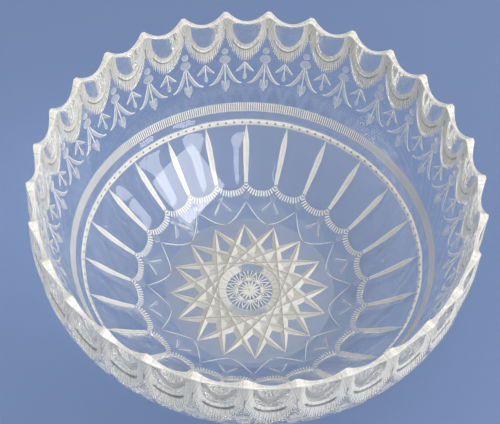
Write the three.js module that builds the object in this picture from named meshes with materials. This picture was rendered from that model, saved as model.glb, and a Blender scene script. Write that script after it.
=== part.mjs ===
// Cut-glass punch bowl: one thick clear-glass bowl, cut on the outside, standing on its flat base.
// Units are millimetres, +Z is up, and the origin is the centre of the face that it rests on.

import * as THREE from 'three';

// Size of the bowl
const HEIGHT = 170; // resting face to the tips of the rim
const TIP_RADIUS = 178; // axis to the outside of a rim tip
const WALL_RADIUS = 186.5; // outside of the wall, from the centre of the rim plane
const INNER_RADIUS = 171; // inside of the wall, from the same centre
const FLOOR_THICKNESS = 12;
const SHOULDER_ANGLE = 22; // degrees below the rim plane where the wall reaches its full radius

// Toothed rim, with a hollow window cut into the outside under each scallop
const TEETH = 30;
const TOOTH_PHASE = 1.05; // degrees from +Y to the nearest tip
const TOOTH_DEPTH = 8.3;
const TIP_SHARE = 0.08; // share of each half tooth that is its blunt tip
const WINDOW_DEPTH = 4.6;
const WINDOW_BOTTOM = 14; // degrees below the rim plane

// Mitre groove round the belly, and the long flutes under it
const GROOVE_ANGLE = 36.7;
const GROOVE_HALF_WIDTH = 0.8;
const GROOVE_DEPTH = 1.5;
const FLUTES = 24;
const FLUTE_PHASE = 6.2; // degrees from +Y to the nearest ridge
const FLUTE_DEPTH = 2.2;
const FLUTE_TOP = 38;
const FLUTE_BOTTOM = 57;

const SEGMENTS = 240; // whole numbers of segments for each tooth and each flute
const RADIANS = Math.PI / 180;

// Radius of the outside from the centre of the rim plane, at an angle below that plane.
function wallRadius(angle) {
  return THREE.MathUtils.lerp(TIP_RADIUS, WALL_RADIUS, THREE.MathUtils.smoothstep(angle, 0, SHOULDER_ANGLE));
}

// Place in one repeat of a pattern: -1 and 1 at its ridges, 0 half-way between them.
function placeInRepeat(azimuth, count, phase) {
  const repeats = ((azimuth - 90 - phase) * count) / 360;
  return 2 * (repeats - Math.floor(repeats)) - 1;
}

function hollow(place) {
  return 1 - place * place;
}

// A station is one ring of the lathed profile. Its cut moves the ring inwards and its drop lowers it,
// both as functions of the azimuth in degrees. Its phase puts a vertex on every ridge of its pattern.
function station(radius, height, { cut = () => 0, drop = () => 0, phase = TOOTH_PHASE } = {}) {
  return { radius, height, cut, drop, phase };
}

function stationAt(distance, angle, shaping) {
  const radius = distance * Math.cos(angle * RADIANS);
  const height = HEIGHT - distance * Math.sin(angle * RADIANS);
  return station(radius, height, shaping);
}

function outside(angle, shaping) {
  return stationAt(wallRadius(angle), angle, shaping);
}

// The hollow of one scallop: 1 in its middle, and 0 all across the blunt tips beside it.
function scallopHollow(azimuth) {
  const place = Math.abs(placeInRepeat(azimuth, TEETH, TOOTH_PHASE));
  return hollow(Math.min(place / (1 - TIP_SHARE), 1));
}

function scallop(azimuth) {
  return TOOTH_DEPTH * scallopHollow(azimuth);
}

function windowCut(angle) {
  const share = 1 - THREE.MathUtils.smoothstep(angle, 0, WINDOW_BOTTOM);
  return (azimuth) => WINDOW_DEPTH * share * scallopHollow(azimuth);
}

function fluteCut(angle) {
  const along = (angle - FLUTE_TOP) / (FLUTE_BOTTOM - FLUTE_TOP);
  const share = Math.sqrt(Math.sin(Math.PI * THREE.MathUtils.clamp(along, 0, 1)));
  return (azimuth) => FLUTE_DEPTH * share * hollow(placeInRepeat(azimuth, FLUTES, FLUTE_PHASE));
}

function baseStations() {
  const edgeAngle = Math.asin(HEIGHT / WALL_RADIUS) / RADIANS;
  return [station(0, 0), outside(edgeAngle)];
}

function fluteStations() {
  const angles = [FLUTE_BOTTOM, 54, 48, 42, FLUTE_TOP];
  return angles.map((angle) => outside(angle, { cut: fluteCut(angle), phase: FLUTE_PHASE }));
}

function grooveStations() {
  return [
    outside(GROOVE_ANGLE + GROOVE_HALF_WIDTH),
    outside(GROOVE_ANGLE, { cut: () => GROOVE_DEPTH }),
    outside(GROOVE_ANGLE - GROOVE_HALF_WIDTH),
  ];
}

function windowStations() {
  const angles = [28, 20, WINDOW_BOTTOM, 7];
  return angles.map((angle) => outside(angle, { cut: windowCut(angle) }));
}

function rimStations() {
  return [
    station(TIP_RADIUS, HEIGHT, { cut: windowCut(0), drop: scallop }),
    station(INNER_RADIUS, HEIGHT, { drop: scallop }),
  ];
}

function insideStations() {
  const floorHeight = FLOOR_THICKNESS;
  const floorRadius = Math.sqrt(INNER_RADIUS ** 2 - (HEIGHT - floorHeight) ** 2);
  const wall = [12, 28, 44, 58].map((angle) => stationAt(INNER_RADIUS, angle));
  return [...wall, station(floorRadius, floorHeight), station(0, floorHeight)];
}

// Lathes the profile, then moves every vertex to its station's place at that azimuth.
function carvedLathe(stations) {
  const profile = stations.map(({ radius, height }) => new THREE.Vector2(radius, height));
  const geometry = new THREE.LatheGeometry(profile, SEGMENTS);
  const position = geometry.attributes.position;
  const step = 360 / SEGMENTS;
  for (let i = 0; i < position.count; i++) {
    const { radius, height, cut, drop, phase } = stations[i % stations.length];
    const azimuth = 90 + (phase % step) + Math.floor(i / stations.length) * step;
    const reach = radius - cut(azimuth);
    const x = reach * Math.cos(azimuth * RADIANS);
    const y = reach * Math.sin(azimuth * RADIANS);
    position.setXYZ(i, x, y, height - drop(azimuth));
  }
  geometry.computeVertexNormals();
  return geometry;
}

function makeBowl() {
  const stations = [
    ...baseStations(),
    ...fluteStations(),
    ...grooveStations(),
    ...windowStations(),
    ...rimStations(),
    ...insideStations(),
  ];
  const glass = new THREE.MeshStandardMaterial({
    color: 0xeef2f4,
    roughness: 0.04,
    metalness: 0,
    transparent: true,
    opacity: 0.35,
  });
  const bowl = new THREE.Mesh(carvedLathe(stations), glass);
  bowl.name = 'bowl';
  return bowl;
}

const punchBowl = new THREE.Group();
punchBowl.add(makeBowl());

export default punchBowl;
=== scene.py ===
"""A cut-glass punch bowl, on a pale floor in soft light.

The CAD model gives its size and coarse shape. This script makes the finished glass: one closed mesh whose
outside is carved, ring by ring, with every cut of the pattern.

Lengths here are millimetres until the mesh is made, and angles are degrees. A place on the wall is given by
its azimuth and by its dip: the angle below the rim's plane, seen from the centre of that plane. Most cuts
take x, the azimuth from the middle of their repeat, and y, the dip.
"""

import math

import bpy
import numpy as np
from mathutils import Matrix, Vector


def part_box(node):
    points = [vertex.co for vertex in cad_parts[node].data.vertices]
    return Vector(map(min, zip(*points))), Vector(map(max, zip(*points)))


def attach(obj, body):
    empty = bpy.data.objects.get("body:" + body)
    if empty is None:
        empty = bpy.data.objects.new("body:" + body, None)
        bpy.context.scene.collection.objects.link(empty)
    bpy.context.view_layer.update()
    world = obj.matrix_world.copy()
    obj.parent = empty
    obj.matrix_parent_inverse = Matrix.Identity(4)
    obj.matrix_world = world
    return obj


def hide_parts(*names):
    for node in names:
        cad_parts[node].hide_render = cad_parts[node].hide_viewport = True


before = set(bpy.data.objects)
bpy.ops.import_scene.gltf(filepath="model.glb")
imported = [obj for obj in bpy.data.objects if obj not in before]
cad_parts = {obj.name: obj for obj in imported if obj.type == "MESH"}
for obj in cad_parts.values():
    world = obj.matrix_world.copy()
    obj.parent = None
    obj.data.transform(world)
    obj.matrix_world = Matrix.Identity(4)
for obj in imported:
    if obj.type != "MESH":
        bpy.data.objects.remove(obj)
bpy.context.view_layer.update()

MM = 0.001

# The bowl, as in the CAD source
HEIGHT = (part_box("bowl")[1].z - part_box("bowl")[0].z) / MM
TIP_RADIUS = 178.0
WALL_RADIUS = 186.5
INNER_RADIUS = 171.0
FLOOR_THICKNESS = 12.0
FLOOR_BLEND = 2.0
SHOULDER_DIP = 22.0
BASE_DIP = math.degrees(math.asin(HEIGHT / WALL_RADIUS))
BASE_RADIUS = WALL_RADIUS * math.cos(math.radians(BASE_DIP))

# Toothed rim and the pattern that hangs from it: one repeat for each tooth
TEETH = 30
TOOTH_PITCH = 360 / TEETH
TOOTH_PHASE = 91.05
TOOTH_DEPTH = 8.3
TIP_SHARE = 0.08
PATTERN_END_DIP = 28.6
TOOTH_COLUMNS = 96
TOOTH_ROWS = 150

# Window and swag under each scallop: half-widths across and down from where their sides start to curve in
CURVE_IN_DIP = 3.5
WINDOW_DEPTH = 4.6
WINDOW_ACROSS, WINDOW_DOWN = 4.1, 7.8
SWAG_ACROSS, SWAG_DOWN = 6.6, 14.6
SWAG_TICK_PITCH = 0.51
SWAG_TICK_LENGTH = 0.34
CREASE = 1.24

# Notched band and mitre ring round the belly
BAND_DIPS = (31.4, 33.7)
BAND_TICKS = 480
BAND_COLUMNS = BAND_TICKS * 6
RING_DIPS = (36.2, 37.8)
BEADS_PER_FLUTE = 5

# Long flutes, and the crescents under them: one crescent for every two flutes
FLUTES = 24
FLUTE_PITCH = 360 / FLUTES
FLUTE_PHASE = 96.2
FLUTE_COLUMNS = 108
FLUTE_DEPTH = 2.6
RIDGE_HALF_WIDTH = 1.2
RIDGE_END_DIP = 54.6
FOOT_DIP, FOOT_DROP = 53.3, 3.7
FRINGE_TICKS = 18
FRINGE_SPREAD = 150
FRINGE_REACH = 1.8
CRESCENT_DIP, CRESCENT_RISE = 66.7, 6.6
SPRIG_DIP, SPRIG_ACROSS, SPRIG_DROP = 59.2, 5.8, 3.6

# Star in the base. Its mitres join points six apart, and its facets are shaded as if lit from one azimuth
STAR_POINTS = 16
STAR_STEP = 6
STAR_RADIUS = 70.4
STAR_PHASE = 98.2
STAR_HALF_WIDTH = 5.5
STAR_FILLED_RADIUS = 42.5
STAR_LIT_FROM = 30.0
BUTTON_RADIUS = 20.0
BUTTON_RING_RADIUS = 27.0
OCTAGON = 10.0
OCTAGON_SIDE = 45.0
RAY_PITCH = 22.5
FAN_PITCH = 22.0

# Glass
CLEAR_TINT = (0.985, 0.992, 0.99)
GROUND_TINT = (0.99, 0.96, 0.87)
# The dark tint below is the colour of painted shade in the cuts, and of the dark specks of the grain
SHADE_AND_SPECK_TINT = (0.13, 0.14, 0.17)
CLEAR_SHADOW = (0.95, 0.96, 0.96)
GROUND_SHADOW = (0.6, 0.6, 0.6)
GLASS_IOR = 1.53
GRAIN_SCALE = 900.0
PATCH_SCALE = 140.0

# Stage, light and camera
FLOOR_COLOUR = (0.13, 0.195, 0.36, 1)
SKY_COLOUR = (1.0, 0.985, 0.96, 1)
SKY_STRENGTH = 0.98
KEY_COLOUR = (1.0, 0.98, 0.95)
CAMERA_LIFT = 54.01
CAMERA_DISTANCE = 5.4426
CAMERA_ROLL = 4.464
CAMERA_AIM = (-0.0253, -0.1692)
FOCAL_SHARE = 2.51306
BOUNCES = 20


# ---------------------------------------------------------------- shapes of single cuts


def smooth(x):
    x = np.clip(x, 0, 1)
    return x * x * (3 - 2 * x)


def inside(distance, soft):
    """1 where distance is well below 0, falling to 0 over a soft edge of this width."""
    return 1 - smooth(distance / soft + 0.5)


def vee(distance, half_width):
    """The depth of a V groove, 1 along its bottom."""
    return np.clip(1 - np.abs(distance) / half_width, 0, 1)


def dish(distance):
    """The depth of a round hollow, 1 at its centre, where distance is 1 at its edge."""
    return np.clip(1 - distance**2, 0, 1)


def ridges(x):
    """A row of V grooves with a period of 1: 0 between them and 1 along their bottoms."""
    return np.abs((x % 1) * 2 - 1)


def nearest(angle, pitch):
    """Degrees from the nearest multiple of the pitch."""
    return (angle + pitch / 2) % pitch - pitch / 2


class Cuts:
    """What has been cut into a stretch of the outside: how deep, in millimetres, how frosted and how dark,
    the dark being mostly painted shade.
    """

    def __init__(self, shape):
        self.depth = np.zeros(shape)
        self.frost = np.zeros(shape)
        self.shade = np.zeros(shape)

    def carve(self, depth):
        self.depth += depth

    def clear(self, where):
        """Take away what was cut, where this is 1."""
        for values in (self.depth, self.frost, self.shade):
            values *= 1 - where

    def whiten(self, frost):
        self.frost = np.maximum(self.frost, frost)

    def darken(self, shade):
        self.shade = np.maximum(self.shade, shade)


def cut_ticks(cuts, ticks, where, gap_frost):
    """White ticks with painted shade in the gaps between them. ticks is 1 along the middle of each tick."""
    white = smooth((ticks - 0.35) / 0.3)
    cuts.carve(0.25 * ticks * where)
    cuts.whiten(where * (gap_frost + (1 - gap_frost) * white))
    # Painted shade in the gaps between the ticks
    cuts.darken(where * (1 - white))


# ---------------------------------------------------------------- the wall


def wall_radius(dip):
    return TIP_RADIUS + (WALL_RADIUS - TIP_RADIUS) * smooth(dip / SHOULDER_DIP)


def scallop_hollow(x):
    """The hollow of one scallop: 1 in its middle, and 0 all across the blunt tips beside it."""
    return dish(2 * x / TOOTH_PITCH / (1 - TIP_SHARE))


def rim_dip(x):
    """The dip of the rim, x degrees from the middle of a scallop."""
    return np.degrees(np.arcsin(TOOTH_DEPTH * scallop_hollow(x) / TIP_RADIUS))


def cut_window_and_swag(cuts, x, y):
    """Under each scallop, a flat polished window with a wide fringed swag of white cuts round it."""
    below = np.maximum(y - CURVE_IN_DIP, 0)
    window = np.hypot(x / WINDOW_ACROSS, below / WINDOW_DOWN)
    swag = np.abs(x / SWAG_ACROSS) ** 1.7 + (below / SWAG_DOWN) ** 2
    inward = np.clip(1 - swag, 0, 1)
    slope_share = inward / (inward + np.maximum(window - 1, 0) + 0.001)
    rim_share = inside(y - 6, 8)
    cuts.carve(WINDOW_DEPTH * scallop_hollow(x) * (rim_share + slope_share * (1 - rim_share)))
    cut_swag_body(cuts, x, y, window, swag)
    cut_crease(cuts, x, y, window)


def cut_swag_body(cuts, x, y, window, swag):
    """The white of a swag, streaked along its ticks, which end in a fringe of spikes. The streaks are a tone
    that differs at random from tick to tick, and painted shade along the bottoms of the ticks in the fringe.
    """
    fan = x / (1 + (y - 10) / 26) / SWAG_TICK_PITCH
    ticks = ridges(fan)
    tick_length = SWAG_TICK_LENGTH * smooth((y - 5) / 7)
    body = inside(swag - 1 + tick_length * ticks, 0.05) * smooth((window - 1.0) / 0.05)
    fringed = smooth((window - 1.2) / 0.15)
    cuts.carve(0.45 * ticks * body * fringed)
    each_tick = np.sin(78.2 * np.floor(fan + 0.5)) * 0.5 + 0.5
    cuts.whiten(body * (1 - 0.15 * fringed * ticks))
    # Darker by a random tone for each tick, and by painted shade along the bottoms of the ticks
    cuts.darken(body * (0.3 * each_tick**2 + 0.35 * fringed * ticks**2))


def cut_crease(cuts, x, y, window):
    """Painted shade on the lower side of the crease under a window, and a thin line of painted shade between
    two swags, close under a tip.
    """
    crease = vee(window - CREASE, 0.08) * inside(np.abs(x) - 3.7, 1.0)
    cuts.carve(1.5 * crease)
    lower_side = smooth((window - CREASE + 0.015) / 0.02)
    # Painted shade on the lower side of the crease
    cuts.darken(0.95 * lower_side * smooth(crease * 3))
    from_tip = TOOTH_PITCH / 2 - np.abs(x)
    slit_shade = inside(from_tip - 0.22, 0.14) * smooth((y - 5) / 1.0) * inside(y - 11.4, 0.8)
    # Painted shade only: nothing is cut along this line
    cuts.darken(0.85 * slit_shade)


def cut_disc(cuts, x, y, centre, across, down, frost=0.38, depth=0.55):
    """A shallow frosted disc, with a painted highlight round its lower edge."""
    distance = np.hypot(x / across, (y - centre) / down)
    cuts.carve(depth * dish(distance))
    on_disc = inside(distance - 1, 0.12)
    lower_edge_highlight = smooth((distance - 0.7) / 0.2) * smooth((y - centre) / down + 0.4)
    # The painted highlight is extra frost round the lower edge
    cuts.whiten(on_disc * (frost + 0.3 * lower_edge_highlight))


def cut_stem(cuts, x, y, top, bottom, half_width):
    along = inside(top - y, 0.3) * inside(y - bottom, 0.3)
    cuts.carve(0.15 * vee(x, half_width) * along)
    cuts.whiten(inside(np.abs(x) - half_width, 0.12) * along)


def cut_leaf(cuts, x, y, top, bottom):
    """A frosted leaf on each side of the stem, with a bright upper edge.

    top and bottom are its two edges. Each is x and y at the root, x and y at the tip, and how much it curls.
    """

    def edge(root_x, root_y, tip_x, tip_y, curl):
        """How far a place is below one edge."""
        left_over = np.clip((tip_x - np.abs(x)) / (tip_x - root_x), 0, 1)
        slope = (tip_y - root_y) * curl * left_over ** (curl - 1) / (tip_x - root_x)
        return (y - tip_y + (tip_y - root_y) * left_over**curl) / np.hypot(1, slope)

    from_top, from_bottom = edge(*top), edge(*bottom)
    beside = inside(top[0] - np.abs(x), 0.15) * inside(np.abs(x) - top[2], 0.15)
    blade = inside(-from_top, 0.12) * inside(from_bottom, 0.15) * beside
    cuts.carve(0.3 * blade)
    cuts.whiten(0.42 * blade)
    cuts.carve(0.2 * vee(from_top, 0.3) * beside)
    cuts.whiten(inside(np.abs(from_top) - 0.13, 0.12) * beside)


def cut_bud(cuts, x, y):
    """Three petals at the end of the long stem."""
    outer_dip, middle_dip = 25.4, 26.0
    for side in (-1, 1):
        leaning = x - side * (0.72 - 0.14 * (y - outer_dip))
        distance = np.hypot(leaning / 0.58, (y - outer_dip) / 1.4)
        cuts.carve(0.4 * dish(distance))
        cuts.whiten(inside(distance - 1, 0.15) * (0.34 + 0.2 * smooth((distance - 0.6) / 0.3)))
    middle = np.hypot(x / 0.5, (y - middle_dip) / 1.6)
    cuts.carve(0.3 * dish(middle))
    cuts.whiten(inside(middle - 1, 0.15) * (0.4 + 0.2 * smooth((middle - 0.6) / 0.3)))


def cut_tooth_repeat(cuts, x, y):
    """Everything that repeats with the teeth. x is degrees from the middle of a scallop."""
    cut_window_and_swag(cuts, x, y)
    cut_stem(cuts, x, y, top=18.2, bottom=21.9, half_width=0.17)
    cut_leaf(cuts, x, y, top=(0.3, 18.6, 2.7, 21.35, 1.1), bottom=(0.2, 20.2, 2.7, 21.5, 1.7))
    cut_disc(cuts, x, y, centre=22.9, across=0.6, down=1.1, frost=0.5, depth=0.4)
    from_tip = np.abs(x) - TOOTH_PITCH / 2
    cut_disc(cuts, from_tip, y, centre=14.2, across=1.02, down=1.15)
    cut_disc(cuts, from_tip, y, centre=17.1, across=1.65, down=1.5)
    cut_stem(cuts, from_tip, y, top=18.6, bottom=24.5, half_width=0.2)
    cut_leaf(cuts, from_tip, y, top=(0.4, 18.7, 5.15, 25.1, 1.95), bottom=(0.3, 20.9, 5.15, 25.2, 3.2))
    cut_bud(cuts, from_tip, y)


def cut_band(cuts, x, y):
    """A band of fine upright ticks between two thin lines. x is in ticks."""
    top, bottom = BAND_DIPS
    on_band = inside(top - y, 0.2) * inside(y - bottom, 0.2)
    cut_ticks(cuts, ridges(x), on_band, gap_frost=0.55)
    for edge in BAND_DIPS:
        cuts.whiten(0.8 * inside(np.abs(y - edge) - 0.1, 0.15))


def cut_ring(cuts, x, y):
    """The mitre ring above the flutes, slightly beaded, with dots of painted shade along its bottom between
    the beads. x is degrees from the middle of a flute.
    """
    top, bottom = RING_DIPS
    middle, half = (top + bottom) / 2, (bottom - top) / 2
    bead = np.cos(np.radians(x * FLUTES * BEADS_PER_FLUTE))
    cuts.carve((1.7 + 0.15 * bead) * vee(y - middle, half))
    cuts.whiten(0.95 * inside(np.abs(y - middle) - half, 0.12))
    # Painted shade in dots along the bottom of the ring
    cuts.darken(inside(np.abs(y - middle) - 0.24, 0.2) * inside(0.75 - bead, 0.25))


def cut_flute(cuts, x, y):
    """One long hollow flute, its white ridges and the fringe of ticks round its foot."""
    half = FLUTE_PITCH / 2
    half_width = half - 1.1 * np.clip((43.5 - y) / 5.6, 0, 1) ** 1.5
    foot = FOOT_DIP + FOOT_DROP * np.clip(1 - np.abs(x / half) ** 2.3, 0, 1) ** 0.45
    above_foot = np.clip((foot - y) / 9, 0, 1)
    below_ring = smooth((y - RING_DIPS[1]) / 7)
    length_share = np.sqrt(1 - (1 - above_foot) ** 2) * (0.35 + 0.65 * below_ring)
    cuts.carve(FLUTE_DEPTH * dish(x / half_width) * length_share)
    cut_ridge(cuts, half - np.abs(x), y)
    cut_fringe(cuts, x, y, foot)


def cut_ridge(cuts, from_ridge, y):
    """The white ridge between two flutes, widest in its middle, with a thin line of painted shade along it.
    """
    rising, falling = smooth((y - 36.2) / 8.0), smooth((57.5 - y) / 12)
    half_width = RIDGE_HALF_WIDTH * rising * (0.7 + 0.3 * falling)
    ends = inside(y - RIDGE_END_DIP, 0.5) * smooth((y - 37.6) / 0.8)
    on_ridge = inside(from_ridge - half_width, 0.1) * ends
    cuts.carve(0.5 * np.clip(1 - from_ridge / np.maximum(half_width, 0.05), 0, 1) * on_ridge)
    cuts.whiten(on_ridge)
    # Painted shade along the middle of the ridge
    cuts.darken(0.45 * vee(from_ridge, 0.16) * on_ridge)


def cut_fringe(cuts, x, y, foot):
    """Ticks that fan out from the foot of a flute, and the white line that they start from."""
    # At this dip a degree of azimuth is shorter than a degree of dip
    squeeze = math.cos(math.radians(55))
    fan = np.degrees(np.arctan2(x * squeeze, np.maximum(y - FOOT_DIP + 1, 0.01)))
    outside_foot = (y - foot) * np.maximum(np.cos(np.radians(fan)), 0.35)
    ticks = ridges(fan / FRINGE_SPREAD * FRINGE_TICKS + 0.5)
    reach = FRINGE_REACH * (0.55 + 0.45 * ticks)
    fringe = inside(-outside_foot, 0.2) * inside(outside_foot - reach, 0.25)
    cut_ticks(cuts, ticks, fringe, gap_frost=0.2)
    cuts.whiten(0.8 * inside(np.abs(outside_foot) - 0.13, 0.16))


def cut_crescent(cuts, x, y):
    """The thin crescent that hangs across two flutes. x is degrees from its middle."""
    share = np.abs(x) / FLUTE_PITCH
    line = CRESCENT_DIP - CRESCENT_RISE * (0.15 * share + 0.85 * share**2.1)
    slope = CRESCENT_RISE * (0.15 + 1.79 * share**1.1) / FLUTE_PITCH
    across = (y - line) / np.hypot(1, slope / np.cos(np.radians(y)))
    swell = np.sqrt(np.clip(1 - (2 * share - 1) ** 2, 0, 1))
    cuts.carve(0.35 * vee(across, 0.28) * swell)
    cuts.whiten(0.95 * inside(np.abs(across) - 0.14 * swell, 0.14) * smooth(swell * 3))
    above = inside(y - line, 0.2) * inside(59.5 + 3 * share - y, 0.4)
    cuts.whiten(0.06 * above)
    cut_sprig(cuts, x, y)


def cut_sprig(cuts, x, y):
    """The small V of two thin legs inside a crescent, each with a faint blade beside it."""
    leg = SPRIG_DIP + SPRIG_DROP * np.abs(x / SPRIG_ACROSS) ** 0.85
    from_leg = (y - leg) / np.hypot(1, 0.62 / np.cos(np.radians(y)))
    on_leg = inside(np.abs(x) - 5.6, 0.4) * inside(0.7 - np.abs(x), 0.3)
    cuts.carve(0.3 * vee(from_leg, 0.26) * on_leg)
    cuts.whiten(0.85 * inside(np.abs(from_leg) - 0.1, 0.14) * on_leg)
    blade_width = 0.9 * np.sin(math.pi * np.clip(np.abs(x) / SPRIG_ACROSS, 0, 1))
    blade = inside(-from_leg, 0.15) * inside(from_leg - blade_width, 0.2)
    cuts.whiten(0.22 * blade * on_leg)


def cut_junction_discs(cuts, x, y):
    """A small faint disc under each ridge. x is degrees from the middle of a flute."""
    centre, half_width = 58.6, 0.95
    from_ridge = (np.abs(x) - FLUTE_PITCH / 2) * np.cos(np.radians(59))
    cut_disc(cuts, from_ridge, y, centre, half_width, half_width, frost=0.08, depth=0.2)


# ---------------------------------------------------------------- the base, where x and y are millimetres


def cut_star(cuts, x, y):
    """Mitres along the chords of a star, each deepest half-way, so that it narrows to a point."""
    reach = math.cos(math.pi * STAR_STEP / STAR_POINTS) * STAR_RADIUS
    half_chord = math.sin(math.pi * STAR_STEP / STAR_POINTS) * STAR_RADIUS + 1.5
    deepest = np.zeros(x.shape)
    facet_shade = np.zeros(x.shape)
    bottom_line = np.zeros(x.shape)
    for point in range(STAR_POINTS):
        angle = math.radians(STAR_PHASE + (point + STAR_STEP / 2) * 360 / STAR_POINTS)
        across = x * math.cos(angle) + y * math.sin(angle) - reach
        along = -x * math.sin(angle) + y * math.cos(angle)
        half_width = STAR_HALF_WIDTH * np.clip(1 - (along / half_chord) ** 2, 0, 1) ** 0.82
        depth = np.maximum(half_width - np.abs(across), 0)
        facing = -np.sign(across) * math.cos(angle - math.radians(STAR_LIT_FROM))
        # Painted shade that differs from facet to facet, for the different reflections that each facet
        # catches
        reflection_tone = np.sin(2.4 * point + 1.9 * np.sign(across)) * 0.5 + 0.5
        shade = 0.14 * smooth(facing * 1.5 + 0.5) + 0.2 * reflection_tone
        facet_shade = np.where(depth > deepest, shade, facet_shade)
        deepest = np.maximum(deepest, depth)
        line = inside(np.abs(across) - 0.22, 0.26) * inside(0.5 - depth, 0.4)
        bottom_line = np.maximum(bottom_line, line)
    cuts.carve(0.75 * deepest)
    cuts.whiten(0.95 * inside(0.1 - deepest, 0.4))
    cuts.whiten(0.7 * inside(np.hypot(x, y) - STAR_FILLED_RADIUS, 1))
    cuts.darken(facet_shade)
    cuts.whiten(inside(np.abs(deepest - 0.35) - 0.2, 0.3))
    cuts.whiten(bottom_line)
    # Painted shade along the bottom of each mitre
    cuts.darken(0.95 * bottom_line)


def cut_button(cuts, x, y):
    """The flat middle of the star, ringed by a frosted bevel and cut with a small rayed pattern."""
    radius = np.hypot(x, y)
    turn = np.degrees(np.arctan2(y, x)) - STAR_PHASE
    on_ring = smooth((BUTTON_RING_RADIUS - radius) / 0.8) * smooth((radius - BUTTON_RADIUS) / 0.6)
    on_button = inside(radius - BUTTON_RADIUS, 0.6)
    cuts.clear(on_ring)
    cuts.clear(on_button)
    cut_bevel(cuts, radius, turn, on_ring)
    cuts.carve(0.6 * on_button)
    cut_rays(cuts, radius, turn, on_button)


def cut_bevel(cuts, radius, turn, on_ring):
    """The sloping ring round the button: frosted at its sides, and left clearer on its far and near sides as
    painted shade. It has painted shade in radial streaks too, and in a thin line near its outer edge.
    """
    slope = (radius - BUTTON_RADIUS) / (BUTTON_RING_RADIUS - BUTTON_RADIUS)
    cuts.carve(on_ring * (0.6 + 2.2 * np.clip(slope, 0, 1)))
    azimuth = (turn + STAR_PHASE) % 360
    # Painted shade: less frost on the far and near sides of the bevel
    clear_far = inside(np.abs(azimuth - 90) - 26, 16)
    clear_near = inside(np.abs(azimuth - 270) - 40, 24)
    cuts.whiten(0.95 * on_ring * (1 - 0.85 * clear_far) * (1 - 0.6 * clear_near))
    # Painted shade in radial streaks
    streaks = 0.5 + 0.25 * np.sin(np.radians(turn * 31)) + 0.25 * np.sin(np.radians(turn * 47) + 1.3)
    cuts.darken(on_ring * 0.4 * streaks**2)
    # Painted shade in a thin line near the outer edge of the bevel
    cuts.darken(0.5 * inside(np.abs(radius - BUTTON_RING_RADIUS + 0.6) - 0.2, 0.3))


def cut_rays(cuts, radius, turn, on_button):
    """Sixteen rays in an octagon, with a small fan outside each of its sides."""
    side = nearest(turn, OCTAGON_SIDE)
    octagon = radius * np.cos(np.radians(side))
    from_spoke = radius * np.sin(np.radians(nearest(turn, RAY_PITCH)))
    width = 0.3 + 1.15 * np.sin(math.pi * np.clip(radius / 10.5, 0, 1))
    middle = inside(octagon - OCTAGON + 0.6, 0.3)
    cuts.carve(0.8 * vee(from_spoke, width) * middle)
    cuts.whiten(inside(np.abs(from_spoke) - 0.62 * width, 0.35) * middle)
    frame_line = inside(np.abs(octagon - OCTAGON) - 0.35, 0.3)
    cuts.carve(0.4 * frame_line)
    cuts.whiten(frame_line)
    outwards = octagon - OCTAGON
    sideways = radius * np.sin(np.radians(side))
    fan_turn = np.degrees(np.arctan2(sideways, np.maximum(outwards, 0.01)))
    from_fan = np.hypot(outwards, sideways) * np.sin(np.radians(nearest(fan_turn, FAN_PITCH)))
    outside_frame = inside(0.4 - outwards, 0.3) * on_button
    cuts.carve(0.5 * vee(from_fan, 0.8) * outside_frame)
    cuts.whiten(inside(np.abs(from_fan) - 0.42, 0.35) * outside_frame)


def cut_base(cuts, azimuth, radius):
    """The star, and the parts of the crescents that reach in over the base's edge."""
    x, y = radius * np.cos(np.radians(azimuth)), radius * np.sin(np.radians(azimuth))
    cut_star(cuts, x, y)
    cut_button(cuts, x, y)
    dip = np.full(azimuth.shape, math.degrees(math.atan2(HEIGHT, radius)))
    cut_crescent(cuts, offset_in_repeat(azimuth, 2 * FLUTE_PITCH, FLUTE_PHASE), dip)


# ---------------------------------------------------------------- rings of the mesh


class Ring:
    """One closed ring of points, all the way round. Frost and shade are 0 to 1."""

    def __init__(self, azimuth, radius, height, frost=0.0, shade=0.0):
        count = len(azimuth)
        self.azimuth = azimuth
        self.radius = np.broadcast_to(radius, count)
        self.height = np.broadcast_to(height, count)
        self.frost = np.broadcast_to(frost, count)
        self.shade = np.broadcast_to(shade, count)


def azimuths(count, phase):
    """Angles all the way round, with one of them on the phase."""
    step = 360 / count
    return np.arange(count) * step + phase % step


def offset_in_repeat(azimuth, pitch, phase):
    """Degrees from the middle of a repeat, where the phase is the azimuth of an edge between repeats."""
    return (azimuth - phase) % pitch - pitch / 2


def wall_rings(azimuth, dips, cut_all):
    """Rings down the wall. dips has a row for each ring, and cut_all(cuts, azimuth, dips) carves them."""
    cuts = Cuts(dips.shape)
    cut_all(cuts, np.broadcast_to(azimuth, dips.shape), dips)
    reach = wall_radius(dips) - cuts.depth
    radius = reach * np.cos(np.radians(dips))
    height = HEIGHT - reach * np.sin(np.radians(dips))
    return [Ring(azimuth, radius[i], height[i], cuts.frost[i], cuts.shade[i]) for i in range(len(dips))]


def level_dips(top, bottom, rows, columns):
    """The dips of rings that are level all the way round."""
    return np.repeat(np.linspace(top, bottom, rows)[:, None], columns, 1)


def tooth_rings():
    azimuth = azimuths(TEETH * TOOTH_COLUMNS, TOOTH_PHASE)
    top = rim_dip(offset_in_repeat(azimuth, TOOTH_PITCH, TOOTH_PHASE))
    share = np.linspace(0, 1, TOOTH_ROWS)[:, None]
    dips = top * (1 - share) + PATTERN_END_DIP * share

    def cut_all(cuts, azimuth, dip):
        cut_tooth_repeat(cuts, offset_in_repeat(azimuth, TOOTH_PITCH, TOOTH_PHASE), dip)
        # A frosted lip along the rim, and a thin line of painted shade under it
        cuts.whiten(0.9 * inside(dip - top - 0.55, 0.3))
        cuts.darken(0.6 * inside(np.abs(dip - top - 0.85) - 0.1, 0.2))

    return wall_rings(azimuth, dips, cut_all)


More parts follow.
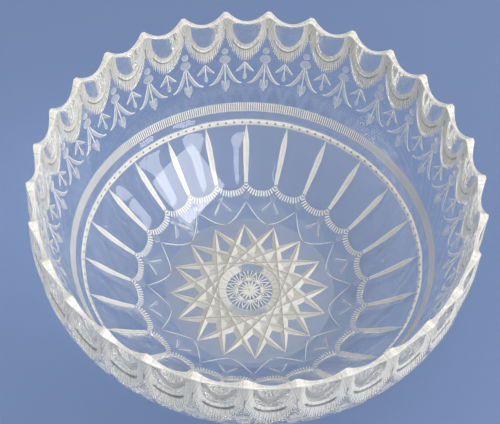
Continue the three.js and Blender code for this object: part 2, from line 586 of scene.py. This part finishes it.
def band_rings():
    dips = level_dips(30.8, 34.2, 14, BAND_COLUMNS)

    def cut_all(cuts, azimuth, dip):
        cut_band(cuts, azimuth / 360 * BAND_TICKS, dip)

    return wall_rings(azimuths(BAND_COLUMNS, 0), dips, cut_all)


def cut_lower_wall(cuts, azimuth, dip):
    x = offset_in_repeat(azimuth, FLUTE_PITCH, FLUTE_PHASE)
    cut_ring(cuts, x, dip)
    cut_flute(cuts, x, dip)
    cut_junction_discs(cuts, x, dip)
    cut_crescent(cuts, offset_in_repeat(azimuth, 2 * FLUTE_PITCH, FLUTE_PHASE), dip)


def flute_rings():
    """Rings from the mitre ring down to the base: finer ones for the ring and the feet of the flutes."""
    azimuth = azimuths(FLUTES * FLUTE_COLUMNS, FLUTE_PHASE)
    spans = ((35.6, 38.2, 14), (38.4, 53.0, 44), (53.2, BASE_DIP - 0.1, 84))
    dips = np.concatenate([level_dips(*span, len(azimuth)) for span in spans])
    return wall_rings(azimuth, dips, cut_lower_wall)


def base_columns(radius):
    """How many points a ring of the base has: fewer in the smaller rings."""
    full = FLUTES * FLUTE_COLUMNS
    for smallest, share in ((48, 1), (24, 2), (11, 4)):
        if radius > smallest:
            return full // share
    return full // 8


def base_rings():
    rings = []
    for radius in np.arange(BASE_RADIUS, 0.3, -0.4):
        azimuth = azimuths(base_columns(radius), FLUTE_PHASE)
        cuts = Cuts(azimuth.shape)
        cut_base(cuts, azimuth, radius)
        rings.append(Ring(azimuth, radius, cuts.depth, cuts.frost, cuts.shade))
    return rings


def inner_rings():
    """Over the inner edge of the rim, then down the plain inside to the floor."""
    return inner_edge_rings() + inner_wall_rings()


def inner_edge_rings():
    """The top of the inside, where the scallops of the rim fade into the plain wall."""
    azimuth = azimuths(TEETH * TOOTH_COLUMNS, TOOTH_PHASE)
    top = rim_dip(offset_in_repeat(azimuth, TOOTH_PITCH, TOOTH_PHASE))
    reach = INNER_RADIUS - 0.4
    plain_dip = 14
    rounded_share, rounding = 0.12, 0.9
    rings = []
    for share in (0.0, 0.04, rounded_share, 0.35, 0.7, 1.0):
        dips = top * (1 - share) + plain_dip * share
        edge = rounding * (1 - min(share / rounded_share, 1)) ** 2
        radius = (reach + edge) * np.cos(np.radians(dips))
        frost = 0.95 * (share == 0)
        rings.append(Ring(azimuth, radius, HEIGHT - reach * np.sin(np.radians(dips)), frost))
    return rings


def inner_wall_rings():
    """The plain inside: a sphere, blended into the flat floor."""
    azimuth = azimuths(TEETH * TOOTH_COLUMNS // 4, 0)
    rings = []
    for dip in np.linspace(16, 54, 40):
        radius = INNER_RADIUS * math.cos(math.radians(dip))
        rings.append(Ring(azimuth, radius, HEIGHT - INNER_RADIUS * math.sin(math.radians(dip))))
    for radius in np.linspace(rings[-1].radius[0], 0, 40)[1:-1]:
        sphere = HEIGHT - math.sqrt(INNER_RADIUS**2 - radius**2)
        rise = (sphere - FLOOR_THICKNESS) / FLOOR_BLEND
        height = FLOOR_THICKNESS + FLOOR_BLEND * math.log1p(math.exp(rise))
        rings.append(Ring(azimuth, radius, height))
    return rings


# ---------------------------------------------------------------- joining the rings


def quads_between(first, second, count):
    """Faces between two rings of the same count, whose points start at these indices."""
    here = np.arange(count)
    ahead = (here + 1) % count
    return np.stack([first + here, second + here, second + ahead, first + ahead], 1)


def zip_between(first, first_count, second, second_count):
    """Triangles between two rings of different counts."""
    triangles = []
    i = j = 0
    while i < first_count or j < second_count:
        a = first + i % first_count
        b = second + j % second_count
        if j == second_count or (i < first_count and (i + 1) * second_count <= (j + 1) * first_count):
            i += 1
            triangles.append((a, b, first + i % first_count))
        else:
            j += 1
            triangles.append((a, b, second + j % second_count))
    return np.array(triangles)


def cap(centre, first, count, facing_up):
    """Triangles from a ring to a point on the axis."""
    here = np.arange(count)
    ahead = (here + 1) % count
    rim = [first + here, first + ahead]
    if not facing_up:
        rim.reverse()
    return np.stack([np.full(count, centre), *rim], 1)


def mesh_of_rings(name, rings, first_pole, last_pole):
    """A closed mesh: the rings in order, with a point on the axis at each end."""
    points, starts, total = [], [], 0
    for ring in rings:
        turn = np.radians(ring.azimuth)
        points.append(np.stack([ring.radius * np.cos(turn), ring.radius * np.sin(turn), ring.height], 1))
        starts.append(total)
        total += len(ring.azimuth)
    quads, triangles = [], []
    placed = list(zip(starts, rings))
    for (start, ring), (next_start, next_ring) in zip(placed, placed[1:]):
        count, next_count = len(ring.azimuth), len(next_ring.azimuth)
        if count == next_count:
            quads.append(quads_between(start, next_start, count))
        else:
            triangles.append(zip_between(start, count, next_start, next_count))
    points.append(np.array([[0, 0, first_pole], [0, 0, last_pole]]))
    finish = {
        "frost": np.concatenate([ring.frost for ring in rings] + [np.zeros(2)]),
        "shade": np.concatenate([ring.shade for ring in rings] + [np.zeros(2)]),
    }
    triangles.append(cap(total, starts[0], len(rings[0].azimuth), facing_up=True))
    triangles.append(cap(total + 1, starts[-1], len(rings[-1].azimuth), facing_up=False))
    return make_mesh(name, np.concatenate(points) * MM, finish, quads, triangles)


def make_mesh(name, points, finish, quads, triangles):
    """A smooth-shaded mesh of these faces. finish holds a value for each point, by attribute name."""
    quads, triangles = np.concatenate(quads), np.concatenate(triangles)
    mesh = bpy.data.meshes.new(name)
    mesh.vertices.add(len(points))
    mesh.vertices.foreach_set("co", points.astype(np.float32).ravel())
    mesh.loops.add(quads.size + triangles.size)
    corners = np.concatenate([quads.ravel(), triangles.ravel()])
    mesh.loops.foreach_set("vertex_index", corners.astype(np.int32))
    starts = np.concatenate([np.arange(len(quads)) * 4, quads.size + np.arange(len(triangles)) * 3])
    mesh.polygons.add(len(starts))
    mesh.polygons.foreach_set("loop_start", starts.astype(np.int32))
    mesh.update(calc_edges=True)
    for key, values in finish.items():
        attribute = mesh.attributes.new(key, "FLOAT", "POINT")
        attribute.data.foreach_set("value", values.astype(np.float32))
    mesh.polygons.foreach_set("use_smooth", np.ones(len(starts), bool))
    mesh.set_sharp_from_angle(angle=math.radians(25))
    mesh.validate()
    return mesh


# ---------------------------------------------------------------- glass


def node(tree, kind, inputs=None, **settings):
    """A shader node with its settings, and its inputs set to values or linked to sockets."""
    made = tree.nodes.new(kind)
    for key, value in settings.items():
        setattr(made, key, value)
    for key, value in (inputs or {}).items():
        if isinstance(value, bpy.types.NodeSocket):
            tree.links.new(value, made.inputs[key])
        else:
            made.inputs[key].default_value = value
    return made


def math_node(tree, operation, a, b=0.0):
    return node(tree, "ShaderNodeMath", {0: a, 1: b}, operation=operation).outputs[0]


def mapped(tree, value, low, high, start=0.0, end=1.0):
    """value, from start to end, put between low and high."""
    ends = {"Value": value, "From Min": start, "From Max": end, "To Min": low, "To Max": high}
    return node(tree, "ShaderNodeMapRange", ends).outputs["Result"]


def mixed_colour(tree, factor, first, second):
    """The socket of a mix of two colours, each given as red, green and blue or as a socket."""
    mix = node(tree, "ShaderNodeMix", {"Factor": factor}, data_type="RGBA")
    for index, colour in ((6, first), (7, second)):
        if isinstance(colour, tuple):
            mix.inputs[index].default_value = (*colour, 1)
        else:
            tree.links.new(colour, mix.inputs[index])
    return mix.outputs[2]


def noise(tree, coordinates, scale, detail):
    inputs = {"Vector": coordinates, "Scale": scale, "Detail": detail}
    return node(tree, "ShaderNodeTexNoise", inputs).outputs["Fac"]


def ground_share(tree, coordinates, grain):
    """How ground the surface is: its frost, made uneven by the grain and by larger patches."""
    frost = node(tree, "ShaderNodeAttribute", attribute_name="frost").outputs["Fac"]
    grind = mapped(tree, grain, 0.45, 1.5)
    uneven = mapped(tree, noise(tree, coordinates, PATCH_SCALE, 2.0), 0.75, 1.25)
    ground = math_node(tree, "MULTIPLY", math_node(tree, "MULTIPLY", frost, grind), uneven)
    return node(tree, "ShaderNodeClamp", {"Value": ground}).outputs[0]


def ground_colour(tree, grain):
    """Milky, and dark where shade is painted on and in the specks of the grain."""
    shade = node(tree, "ShaderNodeAttribute", attribute_name="shade").outputs["Fac"]
    speckle = mapped(tree, grain, 0.0, 0.5, start=0.53, end=0.72)
    darkness = math_node(tree, "MAXIMUM", shade, speckle)
    return mixed_colour(tree, darkness, GROUND_TINT, SHADE_AND_SPECK_TINT)


def glass_shader(tree, ground, ground_tint, grain):
    """Glass that turns rough, opaque and slightly translucent where it is ground."""
    relief = {"Height": grain, "Distance": 0.0002, "Strength": ground}
    bump = node(tree, "ShaderNodeBump", relief)
    inputs = {
        "Base Color": mixed_colour(tree, ground, CLEAR_TINT, ground_tint),
        "Roughness": mapped(tree, ground, 0.015, 0.38),
        "Transmission Weight": mapped(tree, ground, 1.0, 0.12),
        "Normal": bump.outputs[0],
    }
    shader = node(tree, "ShaderNodeBsdfPrincipled", inputs)
    shader.inputs["IOR"].default_value = GLASS_IOR
    glow = node(tree, "ShaderNodeBsdfTranslucent", {"Color": ground_tint})
    glow_share = mapped(tree, ground, 0.0, 0.12)
    mix = {0: glow_share, 1: shader.outputs[0], 2: glow.outputs[0]}
    return node(tree, "ShaderNodeMixShader", mix).outputs[0]


def with_light_shadow(tree, glass, ground):
    """The same glass, except that light on its way to other surfaces passes through it, only tinted."""
    colour = mixed_colour(tree, ground, CLEAR_SHADOW, GROUND_SHADOW)
    let_through = node(tree, "ShaderNodeBsdfTransparent", {"Color": colour})
    shadow = node(tree, "ShaderNodeLightPath").outputs["Is Shadow Ray"]
    mix = {0: shadow, 1: glass, 2: let_through.outputs[0]}
    return node(tree, "ShaderNodeMixShader", mix).outputs[0]


def cut_glass_material():
    """Clear polished glass where frost is 0, and ground, milky glass where it is 1."""
    material = bpy.data.materials.new("cut_glass")
    material.use_nodes = True
    tree = material.node_tree
    tree.nodes.clear()
    coordinates = node(tree, "ShaderNodeTexCoord").outputs["Object"]
    grain = noise(tree, coordinates, GRAIN_SCALE, 3.0)
    ground = ground_share(tree, coordinates, grain)
    glass = glass_shader(tree, ground, ground_colour(tree, grain), grain)
    surface = with_light_shadow(tree, glass, ground)
    node(tree, "ShaderNodeOutputMaterial", {"Surface": surface})
    return material


# ---------------------------------------------------------------- the object


def rim_rings(inner_edge, outer_edge):
    """Across the ground top of the rim, slightly crowned and a little clearer along its middle, with a
    painted highlight at each tip and painted shade over the rest and in thin lines beside each tip.
    """
    rings = []
    for share in (0.12, 0.35, 0.65, 0.88):
        radius = inner_edge.radius * (1 - share) + outer_edge.radius * share
        level = inner_edge.height * (1 - share) + outer_edge.height * share
        crown = 0.25 * dish(2 * share - 1)
        from_tip = TOOTH_PITCH / 2 - np.abs(offset_in_repeat(inner_edge.azimuth, TOOTH_PITCH, TOOTH_PHASE))
        at_tip = smooth(1.4 - from_tip / 2.5)
        # Painted highlight: more frost at each tip
        frost = 0.55 + 0.35 * at_tip - 0.25 * dish((2 * share - 1) / 0.8)
        # Painted shade over the top of the rim, less at the tips, and in thin lines beside each tip
        shade = 0.3 - 0.2 * at_tip + 0.6 * inside(np.abs(from_tip - 1.7) - 0.1, 0.15)
        rings.append(Ring(inner_edge.azimuth, radius, np.minimum(level + crown, HEIGHT), frost, shade))
    return rings


def make_bowl():
    outside = tooth_rings() + band_rings() + flute_rings() + base_rings()
    inner = inner_rings()[::-1]
    rings = inner + rim_rings(inner[-1], outside[0]) + outside
    mesh = mesh_of_rings("bowl_glass", rings, rings[0].height[0], rings[-1].height[0])
    bowl = bpy.data.objects.new("bowl_glass", mesh)
    bpy.context.scene.collection.objects.link(bowl)
    mesh.materials.append(cut_glass_material())
    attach(bowl, "root")
    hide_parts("bowl")


# ---------------------------------------------------------------- stage, light and camera


def make_floor():
    """A wide pale floor, a hair below the foot of the bowl so that the two faces don't coincide."""
    mesh = bpy.data.meshes.new("floor")
    half = 6.0
    height = -0.0003
    corners = [(-half, -half, height), (half, -half, height), (half, half, height), (-half, half, height)]
    mesh.from_pydata(corners, [], [(0, 1, 2, 3)])
    floor = bpy.data.objects.new("floor", mesh)
    bpy.context.scene.collection.objects.link(floor)
    material = bpy.data.materials.new("floor")
    material.use_nodes = True
    shader = material.node_tree.nodes["Principled BSDF"]
    shader.inputs["Base Color"].default_value = FLOOR_COLOUR
    shader.inputs["Roughness"].default_value = 0.9
    mesh.materials.append(material)


def soft_box(name, colour, size, radiance, azimuth, elevation, distance):
    """A square soft box that faces the bowl, placed by its direction from the bowl in degrees."""
    turn, lift = math.radians(azimuth), math.radians(elevation)
    direction = Vector((math.cos(lift) * math.cos(turn), math.cos(lift) * math.sin(turn), math.sin(lift)))
    data = bpy.data.lights.new(name, "AREA")
    data.shape = "SQUARE"
    data.size = size
    data.energy = radiance * math.pi * size**2
    data.color = colour
    lamp = bpy.data.objects.new(name, data)
    lamp.location = direction * distance + Vector((0, 0, HEIGHT * MM / 2))
    lamp.rotation_euler = direction.to_track_quat("Z", "Y").to_euler()
    bpy.context.scene.collection.objects.link(lamp)


def light_scene():
    soft_box("key", KEY_COLOUR, size=0.85, radiance=5.6, azimuth=-28, elevation=43, distance=1.5)
    world = bpy.data.worlds.new("studio")
    world.use_nodes = True
    background = world.node_tree.nodes["Background"]
    background.inputs["Color"].default_value = SKY_COLOUR
    background.inputs["Strength"].default_value = SKY_STRENGTH
    bpy.context.scene.world = world


def make_camera():
    """From above the front edge, with a slight roll. Its distances are in radii of the rim."""
    unit = TIP_RADIUS * MM
    rim = HEIGHT * MM
    lift = math.radians(CAMERA_LIFT)
    distance = CAMERA_DISTANCE * unit
    place = Vector((0, -distance * math.cos(lift), rim + distance * math.sin(lift)))
    aim = Vector((CAMERA_AIM[0] * unit, CAMERA_AIM[1] * unit, rim))
    data = bpy.data.cameras.new("camera")
    data.sensor_width = 36
    data.lens = FOCAL_SHARE * data.sensor_width
    data.clip_start = 0.01
    camera = bpy.data.objects.new("camera", data)
    facing = (aim - place).to_track_quat("-Z", "Y").to_matrix().to_4x4()
    roll = Matrix.Rotation(math.radians(CAMERA_ROLL), 4, "Z")
    camera.matrix_world = Matrix.Translation(place) @ facing @ roll
    bpy.context.scene.collection.objects.link(camera)
    bpy.context.scene.camera = camera


def set_light_paths():
    """Enough bounces for light to pass through both walls of the bowl."""
    cycles = bpy.context.scene.cycles
    cycles.max_bounces = BOUNCES
    cycles.transmission_bounces = BOUNCES
    cycles.glossy_bounces = BOUNCES
    cycles.transparent_max_bounces = BOUNCES
    bpy.context.scene.view_settings.view_transform = "Standard"


make_camera()
make_bowl()
make_floor()
light_scene()
set_light_paths()
